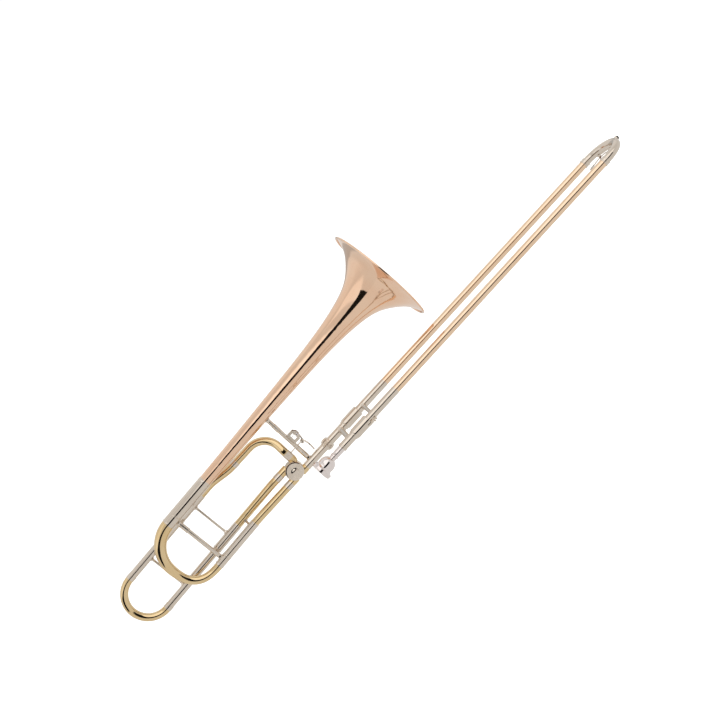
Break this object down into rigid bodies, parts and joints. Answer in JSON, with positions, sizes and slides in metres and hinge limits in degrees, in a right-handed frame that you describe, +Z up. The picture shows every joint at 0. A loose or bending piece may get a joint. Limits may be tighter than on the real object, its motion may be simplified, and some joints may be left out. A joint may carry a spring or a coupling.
{
  "type": "tenor trombone",
  "caption": "Tenor trombone with a rotary F attachment: telescoping hand slide, flared bell, open-wrap valve tubing, tuning slides and thumb lever.",
  "frame": {"origin": "middle of the lock nut on the bell-side leg of the hand slide, which the left hand closes around", "axes": "+X along the hand slide towards its crook and the bell's mouth, +Z up towards the bell, the mouthpiece leg towards -Y"},
  "size_m": [1.2636, 0.233, 0.2692],
  "materials": {
    "rose_brass": "polished rose brass under clear lacquer",
    "yellow_brass": "polished yellow brass under clear lacquer",
    "gold_lacquer": "polished brass under warm lacquer",
    "nickel_silver": "polished nickel silver",
    "silver_plate": "bright silver plate",
    "hard_chrome": "hard chrome, drawn along the tube",
    "steel": "turned steel",
    "bronze_spring": "bare bronze wire",
    "black_rubber": "matt black rubber",
    "cork": "pressed cork"
  },
  "bodies": {
    "hand_slide_frame": {"mouthpiece_receiver": "nickel_silver", "leadpipe": "yellow_brass", "inner_slide_tubes": "hard_chrome", "mouthpiece_side_cork_barrel": "nickel_silver", "bell_side_cork_barrel": "nickel_silver", "barrel_cushions": "cork", "bell_lock_tenon": "nickel_silver", "inner_slide_brace": "nickel_silver"},
    "lock_nut": {"lock_nut": "nickel_silver"},
    "slide_lock": {"slide_lock_ring": "nickel_silver"},
    "mouthpiece": {"mouthpiece": "silver_plate"},
    "outer_slide": {"mouthpiece_side_outer_tube": "gold_lacquer", "bell_side_outer_tube": "gold_lacquer", "slide_sleeves": "nickel_silver", "hand_brace": "nickel_silver", "slide_crook": "nickel_silver", "slide_crook_ferrules": "nickel_silver", "bumper_cup": "nickel_silver", "bumper": "black_rubber", "slide_lock_catch": "nickel_silver", "water_key_saddle": "nickel_silver", "water_key_pin": "steel", "water_key_spring": "bronze_spring"},
    "water_key": {"water_key_lever": "nickel_silver", "water_key_pad": "cork"},
    "bell_section": {"bell": "rose_brass", "bell_rim_wire": "rose_brass", "bell_ferrule": "nickel_silver", "upper_tuning_receiver": "nickel_silver", "lower_tuning_receiver": "nickel_silver", "gooseneck": "yellow_brass", "f_receivers": "nickel_silver", "f_arch_tube": "yellow_brass", "f_return_tube": "yellow_brass", "port_ferrules": "nickel_silver", "f_receiver_brace": "nickel_silver", "gooseneck_brace": "nickel_silver", "valve_casing": "yellow_brass", "valve_cap": "nickel_silver", "bearing_plate": "nickel_silver", "stop_corks": "cork", "neckpipe": "yellow_brass", "neckpipe_receiver": "nickel_silver", "bell_brace": "nickel_silver", "brace_screws": "steel", "thumb_saddle": "nickel_silver", "lever_pin": "steel"},
    "main_tuning_slide": {"main_tuning_crook": "yellow_brass", "main_slide_legs": "nickel_silver", "main_slide_ferrules": "nickel_silver", "main_slide_brace": "nickel_silver"},
    "f_tuning_slide": {"f_tuning_crook": "yellow_brass", "f_slide_legs": "nickel_silver", "f_slide_ferrules": "nickel_silver", "f_slide_brace": "nickel_silver"},
    "valve_rotor": {"rotor": "yellow_brass", "stop_arm": "nickel_silver"},
    "thumb_lever": {"thumb_lever": "nickel_silver", "lever_spring": "bronze_spring"},
    "linkage": {"link_rod": "nickel_silver"}
  },
  "joints": [
    {"name": "slide_travel", "type": "slide", "parent": "hand_slide_frame", "child": "outer_slide", "axis": [1, 0, 0], "range_m": [0, 0.59]},
    {"name": "lock_nut_turn", "type": "hinge", "parent": "hand_slide_frame", "child": "lock_nut", "pos_m": [0, 0, 0], "axis": [1, 0, 0], "range_deg": [0, 540]},
    {"name": "slide_lock_turn", "type": "hinge", "parent": "hand_slide_frame", "child": "slide_lock", "pos_m": [0.08, -0.092, 0], "axis": [1, 0, 0], "range_deg": [0, 25]},
    {"name": "mouthpiece_pull", "type": "slide", "parent": "hand_slide_frame", "child": "mouthpiece", "axis": [-1, 0, 0], "range_m": [0, 0.03]},
    {"name": "bell_swivel", "type": "hinge", "parent": "hand_slide_frame", "child": "bell_section", "pos_m": [0, 0, 0], "axis": [1, 0, 0], "range_deg": [-35, 25]},
    {"name": "water_key_press", "type": "hinge", "parent": "outer_slide", "child": "water_key", "pos_m": [0.744, -0.00616, -0.0123], "axis": [0.5, 0.866, 0], "range_deg": [0, 14], "stiffness_Nm_per_rad": 0.02, "springref_deg": -34.38},
    {"name": "main_slide_pull", "type": "slide", "parent": "bell_section", "child": "main_tuning_slide", "axis": [-0.9991, -0.0039, -0.0413], "range_m": [0, 0.06]},
    {"name": "f_slide_pull", "type": "slide", "parent": "bell_section", "child": "f_tuning_slide", "axis": [-0.9991, -0.0039, -0.0413], "range_m": [0, 0.045]},
    {"name": "valve_turn", "type": "hinge", "parent": "bell_section", "child": "valve_rotor", "pos_m": [-0.0775, 0.00119, 0.01254], "axis": [0, -0.9956, 0.0941], "range_deg": [-90, 0]},
    {"name": "thumb_lever_press", "type": "hinge", "parent": "bell_section", "child": "thumb_lever", "pos_m": [-0.024, 0.00527, 0.05575], "axis": [0, -0.9956, 0.0941], "range_deg": [0, 28.1], "stiffness_Nm_per_rad": 0.08, "springref_deg": -28.65},
    {"name": "linkage_pivot", "type": "hinge", "parent": "thumb_lever", "child": "linkage", "pos_m": [-0.02884, 0.00344, 0.03643], "axis": [0, -0.9956, 0.0941], "range_deg": [-28.1, 0]}
  ],
  "couplings": [
    {"joint": "thumb_lever_press", "follows": "valve_turn", "ratio": -0.31111},
    {"joint": "linkage_pivot", "follows": "valve_turn", "ratio": 0.31111}
  ]
}
